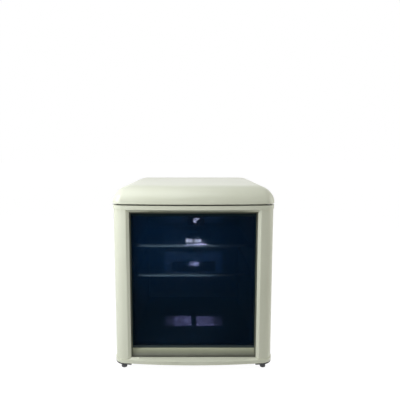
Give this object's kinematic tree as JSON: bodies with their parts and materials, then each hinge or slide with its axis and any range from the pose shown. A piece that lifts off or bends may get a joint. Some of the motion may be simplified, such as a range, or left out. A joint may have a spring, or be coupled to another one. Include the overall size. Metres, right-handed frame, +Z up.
{
  "type": "mini fridge",
  "caption": "Compact refrigerator with a domed lid, a framed tinted glass door hinged on the right, glass shelves, a rear fan-cooled heat pump unit and levelling feet.",
  "frame": {"origin": "on the floor under the middle of the overall box", "axes": "+Z up, the door faces -Y, +X is to the right of someone facing the door"},
  "size_m": [0.445, 0.4862, 0.519],
  "materials": {
    "cream_paint": "gloss",
    "cream_plastic": "gloss",
    "trim_plastic": "satin",
    "black_plastic": "satin",
    "dark_steel": "satin",
    "galvanised_steel": "satin",
    "bright_steel": "satin",
    "shelf_trim": "satin",
    "sink_aluminium": "satin",
    "tinted_glass": "gloss",
    "clear_glass": "gloss",
    "seal_rubber": "matte",
    "foot_rubber": "matte",
    "foam": "matte",
    "ceramic": "matte",
    "circuit_board": "satin",
    "lamp_lens": "satin"
  },
  "bodies": {
    "cabinet": {"side_panel_left": "cream_paint", "side_panel_right": "cream_paint", "back_panel": "cream_paint", "lid": "cream_plastic", "lid_underplate": "cream_plastic", "breaker_strip": "black_plastic", "inner_liner": "black_plastic", "duct_cover": "black_plastic", "outlet_louvre": "black_plastic", "lamp_housing": "black_plastic", "rear_cover": "black_plastic", "power_inlet": "black_plastic", "inner_fan_frame": "black_plastic", "outer_fan_frame": "black_plastic", "top_hinge_plate": "dark_steel", "bottom_hinge_plate": "dark_steel", "foot_plate_left": "dark_steel", "top_plate": "galvanised_steel", "base_pan": "galvanised_steel", "top_hinge_pin": "bright_steel", "bottom_hinge_pin": "bright_steel", "top_hinge_screw_1": "bright_steel", "top_hinge_screw_2": "bright_steel", "bottom_hinge_screw_1": "bright_steel", "bottom_hinge_screw_2": "bright_steel", "foot_plate_screw_1": "bright_steel", "foot_plate_screw_2": "bright_steel", "cold_sink": "sink_aluminium", "hot_sink": "sink_aluminium", "rear_foot_left": "foot_rubber", "rear_foot_right": "foot_rubber", "foam_insulation": "foam", "peltier_module": "ceramic", "control_board": "circuit_board", "lamp_lens_left": "lamp_lens", "lamp_lens_right": "lamp_lens"},
    "door": {"door_stile_left": "cream_paint", "door_stile_right": "cream_paint", "door_top_cap": "cream_plastic", "door_bottom_cap": "cream_plastic", "door_bush_top": "black_plastic", "door_bush_bottom": "black_plastic", "glass_trim": "trim_plastic", "door_sill": "trim_plastic", "outer_glass": "tinted_glass", "glass_spacer": "black_plastic", "inner_glass": "clear_glass", "display_module": "black_plastic", "door_back_frame": "black_plastic", "door_gasket": "seal_rubber"},
    "upper_shelf": {"upper_shelf_glass": "clear_glass", "upper_shelf_front_trim": "shelf_trim", "upper_shelf_rear_trim": "shelf_trim"},
    "lower_shelf": {"lower_shelf_glass": "clear_glass", "lower_shelf_front_trim": "shelf_trim", "lower_shelf_rear_trim": "shelf_trim"},
    "inner_fan": {"inner_fan_rotor": "black_plastic"},
    "outer_fan": {"outer_fan_rotor": "black_plastic"},
    "left_foot": {"front_foot_left": "foot_rubber"},
    "right_foot": {"front_foot_right": "foot_rubber"}
  },
  "joints": [
    {"name": "door_hinge", "type": "hinge", "parent": "cabinet", "child": "door", "pos_m": [0.206, -0.205, 0.244], "axis": [0, 0, 1], "range_deg": [0, 115]},
    {"name": "upper_shelf_slide", "type": "slide", "parent": "cabinet", "child": "upper_shelf", "axis": [0, -1, 0], "range_m": [0, 0.02]},
    {"name": "lower_shelf_slide", "type": "slide", "parent": "cabinet", "child": "lower_shelf", "axis": [0, -1, 0], "range_m": [0, 0.02]},
    {"name": "inner_fan_spin", "type": "hinge", "parent": "cabinet", "child": "inner_fan", "pos_m": [0, 0.1655, 0.3], "axis": [0, 1, 0], "continuous": true},
    {"name": "outer_fan_spin", "type": "hinge", "parent": "cabinet", "child": "outer_fan", "pos_m": [0, 0.226, 0.3], "axis": [0, 1, 0], "continuous": true},
    {"name": "left_foot_turn", "type": "hinge", "parent": "cabinet", "child": "left_foot", "pos_m": [-0.1975, -0.208, 0.01], "axis": [0, 0, 1], "continuous": true},
    {"name": "right_foot_turn", "type": "hinge", "parent": "cabinet", "child": "right_foot", "pos_m": [0.1975, -0.208, 0.01], "axis": [0, 0, 1], "continuous": true}
  ]
}
